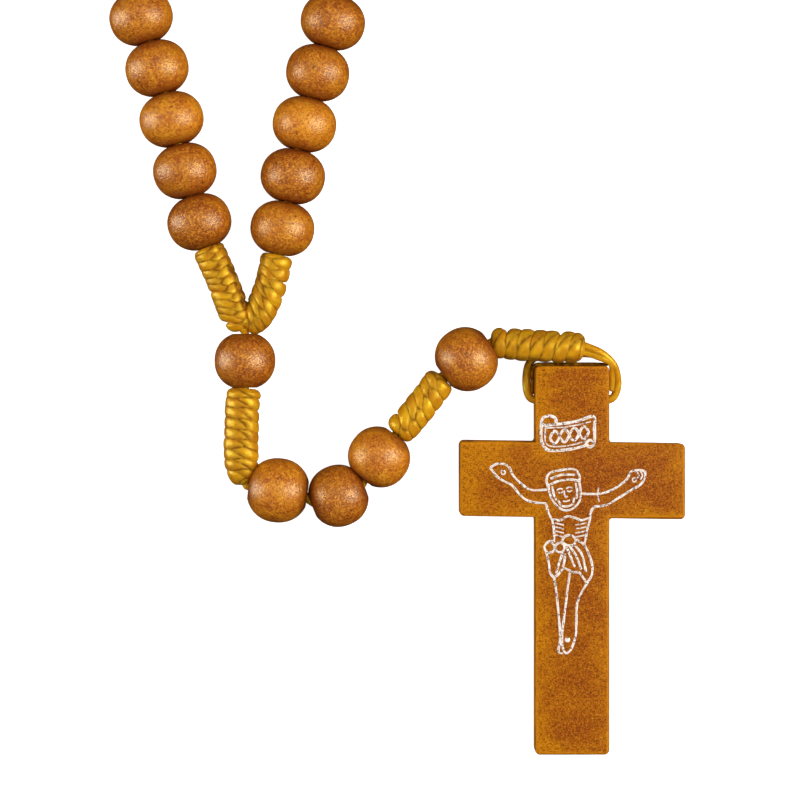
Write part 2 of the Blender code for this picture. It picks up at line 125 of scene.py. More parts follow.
# The ring of cord through the cross, as (x, y, height). x and y run from the cord hole, and height from the
# table. It leaves the knot, passes under it, goes through the hole from left to right, and comes back.
RING = (
    (1.6, 6.1, 3.4), (2.8, 5.75, 3.3), (3.6, 5.55, 2.6), (3.6, 5.6, 1.6), (3.0, 5.75, 0.85), (1.6, 5.9, 0.65),
    (-1.0, 6.0, 0.62), (-3.2, 5.8, 0.75), (-4.5, 5.35, 1.25), (-5.3, 4.5, 1.85), (-5.62, 3.2, 2.3),
    (-5.65, 1.9, 2.4), (-5.5, 0.95, 2.4), (-5.15, 0.28, 2.4), (-4.5, 0.0, 2.4), (-2.5, 0.0, 2.4),
    (2.5, 0.0, 2.4), (4.5, 0.0, 2.4), (5.2, 0.28, 2.4), (5.6, 0.95, 2.45), (5.8, 1.9, 2.6),
    (5.75, 2.8, 2.9), (5.55, 3.6, 3.3), (5.2, 4.4, 3.7), (4.5, 5.2, 4.1), (3.5, 5.95, 4.4), (1.6, 6.75, 4.55),
)
RING_THICKNESS = 1.0
# The cord's second, tighter turn lies against the cross, up its left side and over its top end.
TIGHT_TURN = (
    (-4.9, 1.1, 2.35), (-4.9, 2.4, 2.35), (-4.87, 3.7, 2.4), (-4.55, 4.36, 2.5), (-3.8, 4.48, 2.5),
    (0.0, 4.5, 2.45), (3.6, 4.5, 2.5), (4.25, 4.45, 2.5),
)
# A flat strand from the knot, past the cross's top right corner and down its right side.
LEAD_STRAND = (
    (1.3, 6.15, 4.35), (2.4, 5.85, 4.4), (3.4, 5.45, 4.45), (4.15, 5.15, 4.4), (4.75, 4.85, 4.2),
    (5.06, 4.25, 3.9), (5.1, 3.3, 3.5), (5.08, 2.3, 3.2), (5.05, 1.3, 3.0),
)

# Cross, measured from its cord hole.
CROSS_THICKNESS = 4.8
CROSS_TOP = 4.3
CROSS_BOTTOM = -44.3
UPRIGHT_HALF_WIDTH = 4.65
ARM_HALF_SPAN = 14.1
ARM_TOP = -5.2
ARM_BOTTOM = -14.7
ARM_DROP = 0.22
CROSS_CORNER = 0.65
CORNER_STEPS = 8
CROSS_EDGE = 0.32
CROSS_HOLE_RADIUS = 1.0

# Camera and light.
VIEW_WIDTH = 100.0
VIEW_CENTRE = (20.2, -82.0)
LENS = 150.0
SENSOR = 36.0


# Meshes


def grid_faces(rows, columns, rows_closed=False):
    """Faces of a sheet of points whose columns go all the way round."""
    faces = []
    for row in range(rows if rows_closed else rows - 1):
        below = (row + 1) % rows
        for column in range(columns):
            beside = (column + 1) % columns
            here, there = row * columns, below * columns
            faces.append((here + column, here + beside, there + beside, there + column))
    return faces


def tube_faces(rows, sides):
    """Faces of a tube whose last two points are the middles of its ends."""
    first = rows * sides
    base = first - sides
    faces = grid_faces(rows, sides)
    faces += [(first, (i + 1) % sides, i) for i in range(sides)]
    faces += [(first + 1, base + i, base + (i + 1) % sides) for i in range(sides)]
    return faces


def add_object(name, data):
    made = bpy.data.objects.new(name, data)
    bpy.context.scene.collection.objects.link(made)
    return made


def bmesh_to_mesh(bm, name):
    mesh = bpy.data.meshes.new(name)
    bm.to_mesh(mesh)
    bm.free()
    return mesh


def new_piece(name, points, faces, material, values=None):
    """A smooth mesh object from points in millimetres. values are extra numbers per point, for materials."""
    mesh = bpy.data.meshes.new(name)
    mesh.from_pydata((np.asarray(points, float) * UNIT).tolist(), [], faces)
    for key, numbers in (values or {}).items():
        layer = mesh.attributes.new(key, "FLOAT", "POINT")
        layer.data.foreach_set("value", np.asarray(numbers, np.float32))
    bm = bmesh.new()
    bm.from_mesh(mesh)
    bmesh.ops.recalc_face_normals(bm, faces=bm.faces[:])
    bm.to_mesh(mesh)
    bm.free()
    mesh.shade_smooth()
    mesh.materials.append(material)
    return add_object(name, mesh)


def fit(piece, body, slot, *nodes):
    """Puts a piece on its body and hides the nodes it stands for. slot, the name of its finish, is not used.
    """
    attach(piece, body)
    if nodes:
        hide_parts(*nodes)
    return piece


# Lines that cords and knots follow


class Line:
    """A smooth line through points, read by its length in millimetres."""

    STEPS = 24
    REACH = 0.05

    def __init__(self, places):
        through = np.array([(*place, CORD_HEIGHT)[:3] for place in places], float)
        ends = 2 * through[0] - through[1], 2 * through[-1] - through[-2]
        through = np.vstack([ends[0], through, ends[1]])
        spans = [self.span(*through[i : i + 4]) for i in range(len(through) - 3)]
        self.places = np.vstack([*spans, through[-2:-1]])
        steps = np.linalg.norm(np.diff(self.places, axis=0), axis=1)
        self.lengths = np.concatenate([[0], steps.cumsum()])
        self.length = float(self.lengths[-1])

    def span(self, before, start, end, after):
        """Points from start to just before end, on a centripetal Catmull-Rom curve."""
        gaps = [math.sqrt(np.linalg.norm(b - a)) for a, b in ((before, start), (start, end), (end, after))]
        t0, t1, t2, t3 = np.concatenate([[0], np.cumsum(gaps)])
        t = np.linspace(t1, t2, self.STEPS, endpoint=False)[:, None]
        a1 = ((t1 - t) * before + (t - t0) * start) / (t1 - t0)
        a2 = ((t2 - t) * start + (t - t1) * end) / (t2 - t1)
        a3 = ((t3 - t) * end + (t - t2) * after) / (t3 - t2)
        b1 = ((t2 - t) * a1 + (t - t0) * a2) / (t2 - t0)
        b2 = ((t3 - t) * a2 + (t - t1) * a3) / (t3 - t1)
        return ((t2 - t) * b1 + (t - t1) * b2) / (t2 - t1)

    def at(self, length):
        """Places at these lengths. Past either end, the line goes straight on."""
        length = np.asarray(length, float)
        inside = np.clip(length, 0, self.length)
        place = np.stack([np.interp(inside, self.lengths, column) for column in self.places.T], -1)
        first = self.places[1] - self.places[0]
        last = self.places[-1] - self.places[-2]
        over = np.where(length < 0, length, 0)[..., None] * first / np.linalg.norm(first)
        past_end = np.where(length > self.length, length - self.length, 0)
        over += past_end[..., None] * last / np.linalg.norm(last)
        return place + over

    def ahead(self, length):
        length = np.asarray(length, float)
        step = self.at(length + self.REACH) - self.at(length - self.REACH)
        return step / np.linalg.norm(step, axis=-1, keepdims=True)

    def nearest(self, place):
        """The length at which the line passes nearest to a place."""
        return float(self.lengths[np.linalg.norm(self.places - np.asarray(place, float), axis=1).argmin()])

    def stretch(self, start, end, step=0.5):
        """Evenly spaced places from start to end."""
        return self.at(np.linspace(start, end, max(2, round((end - start) / step) + 1)))


def unit(vectors):
    return vectors / np.linalg.norm(vectors, axis=-1, keepdims=True)


# Beads


def bead_profile(diameter, length):
    """(radius, height) down the outside of a bead, over its flat end, round its lip and back up the bore."""
    radius = diameter / 2
    half = length / 2
    power = 2 / BEAD_ROUNDNESS
    cut = math.asin(BEAD_UNCUT ** (-1 / power))
    outside = [
        (radius * math.cos(t) ** power, math.copysign(BEAD_UNCUT * half * abs(math.sin(t)) ** power, t))
        for t in np.linspace(cut, -cut, BEAD_ROWS)
    ]
    lip = ((BORE_LIP, 0.02), (0.45 * BORE_LIP, 0.07), (0.1 * BORE_LIP, 0.2), (0.0, 0.4))
    top = [(BORE_RADIUS + out, half - down) for out, down in lip]
    bottom = [(r, -height) for r, height in top]
    return np.array([*outside, *bottom, *top[::-1]])


def turned_bead(name, size, seed, material):
    """A bead turned round Z, a little uneven from its sanding."""
    chance = np.random.default_rng(seed)
    diameter, length = size
    profile = bead_profile(diameter * chance.uniform(0.985, 1.003), length * chance.uniform(0.985, 1.0))
    around = np.linspace(0, 2 * math.pi, BEAD_SIDES, endpoint=False)
    radius, height = profile[:, 0][:, None], profile[:, 1][:, None]
    bulk = np.clip((radius - BORE_RADIUS - BORE_LIP) / diameter, 0, 1)
    starts = chance.uniform(0, 2 * math.pi, 4)
    sanding = 0.05 * np.sin(2 * around + starts[0]) + 0.035 * np.sin(3 * around + starts[1] + 0.5 * height)
    sanding = sanding + 0.03 * np.sin(1.3 * height + starts[2]) * np.sin(around + starts[3])
    radii = radius + bulk * sanding
    heights = np.broadcast_to(height, radii.shape)
    points = np.stack([radii * np.cos(around), radii * np.sin(around), heights], -1).reshape(-1, 3)
    faces = grid_faces(len(profile), len(around), rows_closed=True)
    tone = BEAD_TONES.get(name, chance.uniform(0.25, 0.75))
    values = {
        "tone": np.full(len(points), tone),
        "shift": np.full(len(points), chance.uniform(0, 50)),
        "end": np.abs(points[:, 2]) / points[:, 2].max(),
    }
    return new_piece(name, points, faces, material, values)


def place_bead(name, node, size, seed, material, centre, axis):
    """Stands a bead in its node's place, with its bore along the node's hinge axis."""
    bead = turned_bead(name, size, seed, material)
    along = Vector(axis).normalized()
    turn = Matrix((Vector(UP), along.cross(Vector(UP)), along)).transposed()
    bead.matrix_world = Matrix.Translation(centre) @ turn.to_4x4()
    body = frame["nodes"][node]["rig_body"]
    return fit(bead, body, "bead_wood", node)


def bead_size(node):
    if node == "centre_bead":
        return CENTRE_BEAD
    if node.startswith("pendant_bead"):
        return PENDANT_BEADS[int(node[-1]) - 1]
    return OUR_FATHER_BEAD if node.startswith("our_father") else LOOP_BEAD


def make_beads(material):
    """Every bead, and where the loop's beads are: {name: (centre, half length, body)}."""
    places = {}
    for seed, node in enumerate(sorted(n for n in frame["nodes"] if "bead" in n and "cord" not in n)):
        low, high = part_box(node)
        centre = (low + high) / 2
        axis = Vector(JOINTS[f"spin_{node}"]["axis"]).normalized()
        size = bead_size(node)
        if "beads" in node:
            decade, first, second = node.split("_")[1], *node.split("_")[3:]
            across = -axis.x if decade == "3" else axis.y
            step = axis * math.copysign(BEAD_PITCH / 2 * UNIT, across)
            stem = f"decade_{decade}_bead_"
            made = ((stem + first, centre - step), (stem + second, centre + step))
        else:
            made = ((node, centre),)
        for extra, (name, at) in enumerate(made):
            place_bead(name, node, size, 2 * seed + extra, material, at, axis)
            places[name] = (np.array(at) / UNIT, size[1] / 2, frame["nodes"][node]["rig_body"])
    return places


# Cords


TIP_RISE = 0.02


def tube_mesh(line, start, end, width, height, sides=14, step=0.25, uneven=0.0, painted_shade=0.0):
    """Points, faces and values of a cord along a line, with rounded ends. Its section is an ellipse.

    width and painted_shade may be one number, or the numbers at the start and the end. uneven makes the cord
    swell and thin a little, and painted_shade darkens it with painted shade."""
    lengths = np.linspace(start, end, max(3, round((end - start) / step) + 1))
    cap = np.radians((75, 50, 25))
    before = start - height / 2 * np.sin(cap)
    after = end + height / 2 * np.sin(cap[::-1])
    lengths = np.concatenate([before, lengths, after])
    swell = np.concatenate([np.cos(cap), np.ones(len(lengths) - 6), np.cos(cap[::-1])])
    centres, ahead = line.at(lengths), line.ahead(lengths)
    wide = np.interp(lengths, [start, end], np.broadcast_to(width, 2))
    wide = wide * (1 + uneven * (0.6 * np.sin(2.3 * lengths + start) + 0.4 * np.sin(6.1 * lengths + 2 * end)))
    side = unit(np.cross(ahead[0], UP))
    around = np.linspace(0, 2 * math.pi, sides, endpoint=False)
    rows = []
    for place, forward, share, across in zip(centres, ahead, swell, wide):
        side = unit(side - forward * (side @ forward))
        up = np.cross(side, forward)
        out = np.outer(np.cos(around), side) * across / 2 + np.outer(np.sin(around), up) * height / 2
        rows.append(place + share * out)
    tips = [centres[:1] - ahead[:1] * TIP_RISE, centres[-1:] + ahead[-1:] * TIP_RISE]
    points = np.vstack([*rows, *tips])
    # Painted shade along the cord, passed on in its seam values, which the satin darkens by.
    dark = np.interp(lengths, [start, end], np.broadcast_to(painted_shade, 2))
    values = {
        "seam": np.concatenate([np.repeat(dark, sides), dark[[0, -1]]]),
        "along": np.concatenate([np.repeat(lengths, sides), lengths[[0, -1]]]),
        "across": np.concatenate([np.tile(around, len(rows)), [0, 0]]),
        "tone": np.full(len(points), 0.5),
    }
    return points, tube_faces(len(rows), sides), values


def tube(name, line, start, end, material, width=2 * CORD_RADIUS, height=2 * CORD_RADIUS, painted_shade=0.0):
    points, faces, values = tube_mesh(line, start, end, width, height, painted_shade=painted_shade)
    return new_piece(name, points, faces, material, values)


def declare_cord(line, start, end):
    """Works out places along this stretch of cord, which is held at both ends, in metres, and does nothing
    more with them.
    """
    path = line.stretch(start, end) * UNIT


# Knots


KNOT_STEP = 0.07
KNOT_SIDES = 108
# How soon the painted shade in a seam fades as one turn rises above its neighbour, in millimetres.
SEAM_WIDTH = 0.12
# How far inside the knot's ends its outer turns lie, as a share of their width.
END_MARGIN = 0.15
# A height below every turn's.
NO_TURN = -9.0


class Winding:
    """How a knot is wound.

    pitch is the spacing of turns on one side of the knot, width the width of a turn, and lean the turns'
    slope. pitch and lean may be lists, spread evenly along the knot. Turns lean by spread more or less in
    turn, and each rides over its neighbours by proud on one side, with the seam between the two sides turned
    from the top by this angle. grime is (angle, amount): painted shade on the knot's side at that
    angle, where a neighbouring part would shade it."""

    def __init__(
        self, pitch=1.15, lean=0.0, spread=0.15, proud=0.14, seam=0.0, width=1.2, grime=(0.0, 0.0), seed=1
    ):
        self.pitches = np.resize(pitch, max(2, np.size(pitch)))
        self.leans = np.resize(lean, max(2, np.size(lean)))
        self.grime = grime
        self.spread = spread
        self.proud = proud
        self.seam = seam
        self.width = width
        self.seed = seed

    def read(self, numbers, share):
        return float(np.interp(share, np.linspace(0, 1, len(numbers)), numbers))

    def places(self, length, chance):
        """The turns' places along a knot of this length."""
        places = [0.0]
        while places[-1] < length:
            pitch = self.read(self.pitches, min(1.0, places[-1] / length))
            places.append(places[-1] + pitch / 2 * chance.uniform(0.88, 1.12))
        return np.array(places) * length / places[-1]


def knot_envelope(along, radius, shoulders):
    """The knot's radius at places along it. Each end has a rounded shoulder: (length, share of radius)."""
    share = np.ones_like(along)
    for (reach, low), place in zip(shoulders, (along, along[-1] - along)):
        inside = np.clip(place / reach, 0, 1)
        share = np.minimum(share, low + (1 - low) * np.sqrt(1 - (1 - inside) ** 2))
    return radius * share


def wound_knot(
    name, line, start, end, winding, material, radius=KNOT_RADIUS, shoulders=((0.8, 0.6), (0.8, 0.6))
):
    """A knot as one closed skin over its turns. Where two turns meet, the skin dips to a seam."""
    chance = np.random.default_rng(winding.seed)
    length = end - start
    along = np.linspace(0, length, round(length / KNOT_STEP) + 1)[:, None]
    around = np.linspace(0, 2 * math.pi, KNOT_SIDES, endpoint=False)
    shape = (len(along), KNOT_SIDES)
    top, second = np.full(shape, NO_TURN), np.full(shape, NO_TURN)
    owner, across, tone = np.zeros(shape), np.zeros(shape), np.zeros(shape)
    margin = END_MARGIN * winding.width
    for i, at in enumerate(margin + winding.places(length - 2 * margin, chance)):
        share = at / length
        hand = 1 if i % 2 else -1
        ends = min(1.0, 5 * min(share, 1 - share) + 0.3)
        lean = (winding.read(winding.leans, share) + hand * winding.spread + chance.normal(0, 0.04)) * ends
        proud_at = (0 if hand > 0 else math.pi) + winding.seam + chance.normal(0, 0.15)
        wave, phase = chance.uniform(0.02, 0.09), chance.uniform(0, 2 * math.pi)
        middle = at + lean * radius * np.cos(around) + wave * np.sin(2 * around + phase)
        swell = 1 + chance.uniform(0.05, 0.18) * np.cos(around - proud_at)
        half = winding.width / 2 * chance.uniform(0.92, 1.08) * swell
        place = (along - middle) / half
        inside = 1 - np.abs(place) ** 2.4
        rise = winding.proud * np.cos(around - proud_at) + chance.normal(0, 0.02)
        height = np.where(inside > 0, rise + TURN_RISE * np.sqrt(np.clip(inside, 0, 1)), NO_TURN)
        wins = height > top
        second = np.where(wins, top, np.maximum(second, height))
        owner = np.where(wins, i, owner)
        across = np.where(wins, place, across)
        tone = np.where(wins, chance.uniform(0, 1), tone)
        top = np.maximum(top, height)
    full = knot_envelope(along[:, 0], radius, shoulders)[:, None]
    skin = np.maximum(full + top - TURN_RISE - 0.6 * winding.proud, 0.8 * CORD_RADIUS)
    # Painted shade on the side of the knot that faces a neighbouring part, where that part would shade it.
    angle, amount = winding.grime
    grime = amount * np.clip((np.cos(around - angle) - 0.62 + 0.35 * (tone - 0.5)) / 0.2, 0, 1)
    # The seam value is painted shade: dark where two turns meet, as in a crease, and on the shaded side.
    seam = np.maximum(np.exp(-(top - second) / SEAM_WIDTH), grime)
    centre, ahead = line.at(start + along[:, 0]), line.ahead(start + along[:, 0])
    side = unit(np.cross(ahead, UP))
    up = np.cross(side, ahead)
    out = side[:, None] * np.cos(around)[:, None] + up[:, None] * np.sin(around)[:, None]
    points = np.vstack([(centre[:, None] + out * skin[..., None]).reshape(-1, 3), centre[[0, -1]]])
    values = {"seam": seam, "along": around * radius + 17 * owner, "across": 1.3 * across, "tone": tone}
    values = {key: np.concatenate([numbers.ravel(), [0, 0]]) for key, numbers in values.items()}
    return new_piece(name, points, tube_faces(len(along), KNOT_SIDES), material, values)


# The loop's cords and knots


def note_loop_bodies(beads):
    """Which stretch of the loop each of its beads hangs on: the parent body of the bead's own."""
    parents = {joint["child"]: joint["parent"] for joint in frame["joints"]}
    return {
        name: parents[body]
        for name, (_, _, body) in beads.items()
        if parents.get(body, "").startswith("loop_") and name != "centre_bead"
    }


def loop_side(side, line, beads, bodies):
    """Knots as (start, end, body), and the places of folds, between the beads on one side of the loop."""
    sign = 1 if side == "right" else -1
    on_side = sorted(
        (line.nearest(centre), half, bodies[name])
        for name, (centre, half, _) in beads.items()
        if name in bodies and sign * centre[0] > 0
    )
    knots, cuts = [], []
    face, body = 0.0, "loop_front"
    for length, half, bead_body in on_side:
        gap = length - half - face
        fold = bead_body != body
        if gap > 2 * FOLD_GAP:
            knots.append((face, length - half - (FOLD_GAP if fold else 0), body))
        if fold:
            cuts.append(length - half - FOLD_GAP / 2 if gap > 2 * FOLD_GAP else face + gap / 2)
        face, body = length + half, bead_body
    return knots, cuts


FIRST_KNOTS = {
    "right": Winding(
        pitch=(1.2, 1.25, 1.35, 1.5), lean=(-0.2, -0.7, -0.65, -0.3, -0.1), spread=0.2, proud=0.2,
        width=1.5, grime=(math.pi, 0.85), seed=11,
    ),
    "left": Winding(
        pitch=1.15, lean=(-0.75, -0.2, 0.05, 0.0), spread=0.22, proud=0.2,
        width=1.35, grime=(0.0, 1.0), seed=12,
    ),
}


def make_loop(beads, satin):
    bodies = note_loop_bodies(beads)
    lines = {"right": Line(RIGHT_SIDE), "left": Line(LEFT_SIDE)}
    tops = []
    for side, line in lines.items():
        knots, cuts = loop_side(side, line, beads, bodies)
        for start, end, part in zip([0.0, *cuts], cuts, ("front", "lower", "upper")):
            node = "junction_cord" if part == "front" else f"loop_cord_{part}_{side}"
            strand = tube(f"strand_{part}_{side}", line, start, end, satin)
            fit(strand, f"loop_{part}", "satin_cord", node)
            declare_cord(line, start, end)
        for n, (start, end, body) in enumerate(knots):
            part = body.removeprefix("loop_")
            node = {"front": "junction_cord", "top": "loop_cord_top"}.get(part, f"loop_cord_{part}_{side}")
            if n == 0:
                knot = wound_knot(
                    f"{side}_knot", line, start, end + FIRST_KNOT_REACH, FIRST_KNOTS[side], satin,
                    radius=FIRST_KNOT_RADIUS, shoulders=((3.0, 0.25), (0.7, 0.66)),
                )
            else:
                winding = Winding(lean=0.1, spread=0.18, seed=20 + n + len(side))
                ends = start + KNOT_CLEARANCE, end - KNOT_CLEARANCE
                knot = wound_knot(f"{side}_loop_knot_{n}", line, *ends, winding, satin)
            fit(knot, body, "satin_cord", node)
        tops.append((line, cuts[-1]))
    (right, right_cut), (left, left_cut) = tops
    rising = right.stretch(right_cut, right.length, 2.0)
    falling = left.stretch(left_cut, left.length, 2.0)[::-1]
    top = Line([tuple(place) for place in np.vstack([rising, falling[1:]])])
    strand = tube("strand_top", top, 0, top.length, satin)
    fit(strand, "loop_top", "satin_cord", "loop_cord_top")
    declare_cord(top, 0, top.length)


# The pendant


# Name, middle line, bare cord at each end, shoulders, radius and winding of each of the pendant's knots.
PENDANT_KNOTS = (
    ("upper_knot", UPPER_KNOT, (-0.36, 0.3), ((1.0, 0.6), (3.4, 0.36)), 2.12,
     Winding(pitch=1.32, lean=(-0.15, -0.3, -0.25, -0.45), spread=0.15, proud=0.16, width=1.45, seed=3)),
    ("middle_knot", MIDDLE_KNOT, (-0.22, -0.28), ((1.2, 0.42), (1.2, 0.42)), 1.9,
     Winding(pitch=1.5, lean=-0.6, spread=0.16, proud=0.3, width=1.7, seed=4)),
    ("cross_knot", CROSS_KNOT, (-0.25, 0.2), ((1.6, 0.5), (1.4, 0.45)), 1.98,
     Winding(pitch=1.75, lean=(-0.2, -0.4, -0.55), spread=0.2, proud=0.12, seam=0.5, width=1.6,
             grime=(0.0, 0.8), seed=5)),
)


def joint_place(name):
    return tuple(np.array(JOINTS[name]["pos_m"]) / UNIT)


def make_pendant(beads, satin):
    bends = ("pendant_bend_1", "pendant_bend_2", "pendant_bend_3", "middle_knot_bend")
    for n, (start, end) in enumerate(zip(bends, bends[1:]), 1):
        thread_bead(f"pendant_bead_{n}", f"bead_cord_{n}", start, end, beads, satin)
    thread_bead("our_father_bead_1", "bead_cord_4", "our_father_bend", "cross_knot_bend", beads, satin)

    line = Line([joint_place("spin_centre_bead"), joint_place("upper_knot_bend")])
    stub = tube("centre_cord", line, -CENTRE_STUB, line.length, satin)
    fit(stub, "loop_front", "satin_cord", "junction_cord")

    for name, places, gaps, shoulders, radius, winding in PENDANT_KNOTS:
        line = Line(places)
        core = tube(f"{name}_cord", line, 0, line.length, satin)
        fit(core, name, "satin_cord", name)
        turns = wound_knot(
            f"{name}_turns", line, gaps[0], line.length - gaps[1], winding, satin,
            radius=radius, shoulders=shoulders,
        )
        fit(turns, name, "satin_cord", name)


def thread_bead(bead, cord, start, end, beads, satin):
    """The bit of cord that carries one pendant bead from bend to bend."""
    centre, half, _ = beads[bead]
    axis = np.array(JOINTS[f"spin_{bead}"]["axis"]) * 0.8 * half
    first, last = np.array(joint_place(start)), np.array(joint_place(end))
    if (last - first) @ axis < 0:
        axis = -axis
    line = Line([tuple(first), tuple(centre - axis), tuple(centre + axis), tuple(last)])
    fit(tube(cord + "_core", line, 0, line.length, satin), cord, "satin_cord", cord)


# The cross


def cross_outline():
    """The corners of the cross from its hole, anticlockwise, with the arms dropping slightly to the right."""
    w, a = UPRIGHT_HALF_WIDTH, ARM_HALF_SPAN
    drop = ARM_DROP * w / a
    return (
        (-w, CROSS_TOP), (-w, ARM_TOP + drop), (-a, ARM_TOP + ARM_DROP), (-a, ARM_BOTTOM + ARM_DROP),
        (-w, ARM_BOTTOM + drop), (-w, CROSS_BOTTOM), (w, CROSS_BOTTOM), (w, ARM_BOTTOM - drop),
        (a, ARM_BOTTOM - ARM_DROP), (a, ARM_TOP - ARM_DROP), (w, ARM_TOP - drop), (w, CROSS_TOP),
    )


def rounded_corners(corners, radius):
    """The outline with each outward corner turned into a short arc. The outline runs anticlockwise."""
    done = []
    count = len(corners)
    for i, corner in enumerate(corners):
        here = Vector(corner)
        back = (Vector(corners[i - 1]) - here).normalized()
        on = (Vector(corners[(i + 1) % count]) - here).normalized()
        if back.cross(on) > 0:
            done.append(here)
            continue
        middle = here + (back + on) * radius
        for k in range(CORNER_STEPS + 1):
            angle = math.pi / 2 * k / CORNER_STEPS
            done.append(middle - (on * math.cos(angle) + back * math.sin(angle)) * radius)
    return done


def hole_place():
    return Vector(JOINTS["cross_swing"]["pos_m"])


def make_cross(material):
    corners = rounded_corners(cross_outline(), CROSS_CORNER)
    bm = bmesh.new()
    base = bm.faces.new([bm.verts.new((x * UNIT, y * UNIT, 0)) for x, y in corners])
    raised = bmesh.ops.extrude_face_region(bm, geom=[base])["geom"]
    top = [v for v in raised if isinstance(v, bmesh.types.BMVert)]
    bmesh.ops.translate(bm, verts=top, vec=(0, 0, CROSS_THICKNESS * UNIT))
    bmesh.ops.translate(bm, verts=bm.verts[:], vec=(0, 0, -CROSS_THICKNESS / 2 * UNIT))
    bmesh.ops.recalc_face_normals(bm, faces=bm.faces[:])
    cross = add_object("wooden_cross", bmesh_to_mesh(bm, "wooden_cross"))
    cross.data.materials.append(material)
    cross.location = hole_place()
    edge = cross.modifiers.new("soft edges", "BEVEL")
    edge.width = CROSS_EDGE * UNIT
    edge.segments = 3
    edge.limit_method = "ANGLE"
    edge.angle_limit = math.radians(60)
    hole = cross.modifiers.new("cord hole", "BOOLEAN")
    hole.object = make_drill()
    hole.operation = "DIFFERENCE"
    apply_modifiers(cross)
    cross.data.shade_smooth()
    cross.data.set_sharp_from_angle(angle=math.radians(35))
    return fit(cross, "cross", "cross_wood", "cross")


def make_drill():
    bm = bmesh.new()
    bmesh.ops.create_cone(
        bm, cap_ends=True, segments=40, radius1=CROSS_HOLE_RADIUS * UNIT, radius2=CROSS_HOLE_RADIUS * UNIT,
        depth=4 * UPRIGHT_HALF_WIDTH * UNIT,
    )
    bmesh.ops.rotate(bm, verts=bm.verts[:], matrix=Matrix.Rotation(math.pi / 2, 3, "Y"))
    drill = add_object("drill", bmesh_to_mesh(bm, "drill"))
    drill.location = hole_place()
    return drill


def apply_modifiers(piece):
    """Keeps the shape that a piece's modifiers give it, and removes the drill."""
    bpy.context.view_layer.update()
    graph = bpy.context.evaluated_depsgraph_get()
    mesh = bpy.data.meshes.new_from_object(piece.evaluated_get(graph))
    helpers = [m.object for m in piece.modifiers if m.type == "BOOLEAN"]
    piece.modifiers.clear()
    piece.data = mesh
    for helper in helpers:
        bpy.data.objects.remove(helper, do_unlink=True)


def from_hole(places):
    """A line through places given from the cord hole in x and y, and from the table in height."""
    hole = np.array(hole_place()) / UNIT
    return Line([(hole[0] + x, hole[1] + y, z) for x, y, z in places])


def make_ring(satin):
    line = from_hole(RING)
    ring = tube("cross_ring_cord", line, 0, line.length, satin, width=RING_THICKNESS, height=RING_THICKNESS)
    fit(ring, "cross_ring", "satin_cord", "cross_ring")
    declare_cord(line, 0, line.length)
    line = from_hole(LEAD_STRAND)
    # Painted shade darkens the lead strand towards its far end, where it runs down beside the cross.
    lead = tube(
        "cross_ring_lead_strand", line, 0, line.length, satin, width=(1.25, 0.72), height=0.5,
        painted_shade=(0.0, 0.4),
    )
    fit(lead, "cross_ring", "satin_cord")
    line = from_hole(TIGHT_TURN)
    # Painted shade darkens the whole tight turn, which lies in shade under the knot and against the cross.
    turn = tube(
        "cross_ring_tight_turn", line, 0, line.length, satin, width=(0.52, 0.42), height=0.9, painted_shade=1.0,
    )
    fit(turn, "cross", "satin_cord")


# The foil print on the face of the cross, in millimetres from the cord hole

OUTLINE = 0.32
FINE = 0.19
FOIL_RISE = 0.05

SCROLL = (
    ((-2.0, -2.95), (-2.1, -2.3), (-2.8, -2.0), (-3.6, -2.2), (-3.85, -2.75), (-3.5, -3.15), (-2.7, -3.1),
     (-1.2, -2.95), (0.6, -2.65), (2.7, -2.1), (2.75, -3.6), (2.7, -5.1), (2.15, -5.0), (1.75, -5.45),
     (2.15, -5.85), (2.65, -5.6), (2.75, -5.1)),
    ((-3.85, -2.75), (-3.9, -4.2), (-3.75, -5.4), (-3.1, -6.2), (-1.0, -6.25), (0.9, -5.9), (1.9, -5.6)),
)
SCROLL_INNER = (
    ((-3.35, -3.5), (-1.2, -3.4), (0.7, -3.1), (2.3, -2.7)),
    ((-3.35, -3.5), (-3.35, -5.2), (-2.9, -5.7), (-0.9, -5.75), (0.8, -5.4), (1.6, -5.15)),
)
ARMS = (
    ((-9.9, -8.9), (-10.2, -8.5), (-9.5, -8.0), (-8.5, -8.0), (-7.9, -8.4), (-7.4, -9.4), (-6.3, -10.5),
     (-5.2, -11.2), (-3.2, -11.2)),
    ((-9.9, -8.9), (-9.5, -9.45), (-8.5, -10.15), (-7.6, -10.6), (-6.6, -11.75), (-5.7, -12.5), (-4.5, -12.8),
     (-3.3, -12.9)),
    ((1.2, -11.7), (3.3, -11.7), (4.55, -11.4), (6.1, -10.5), (6.9, -9.75), (7.3, -8.95), (8.3, -8.75),
     (9.1, -8.9)),
    ((2.7, -13.3), (4.2, -13.1), (5.8, -12.2), (7.4, -11.2), (8.5, -10.55), (9.05, -9.7), (9.1, -8.9)),
)
HANDS = (
    ((-8.9, -8.8), (-8.45, -8.85), (-8.4, -9.2), (-8.8, -9.25), (-8.9, -8.8)),
    ((7.5, -9.8), (7.85, -9.75), (7.95, -10.1), (7.6, -10.2), (7.5, -9.8)),
    ((8.0, -8.9), (8.3, -9.4), (8.1, -9.8)),
    ((8.5, -8.9), (8.75, -9.4), (8.5, -9.9)),
    ((3.3, -10.95), (3.15, -11.8), (3.35, -12.7)),
)
TORSO = (
    ((-3.3, -12.9), (-3.0, -14.0), (-2.5, -15.1), (-2.3, -16.2), (-2.25, -17.4)),
    ((2.7, -13.3), (2.35, -13.9), (2.15, -15.1), (1.85, -16.2), (1.6, -17.6), (1.4, -18.2)),
    ((-2.4, -14.9), (-1.5, -15.0), (-0.6, -14.5), (0.3, -14.7), (1.1, -15.0), (2.0, -14.75)),
)
RIB_LEVELS = (-15.5, -16.0, -16.5, -17.0)
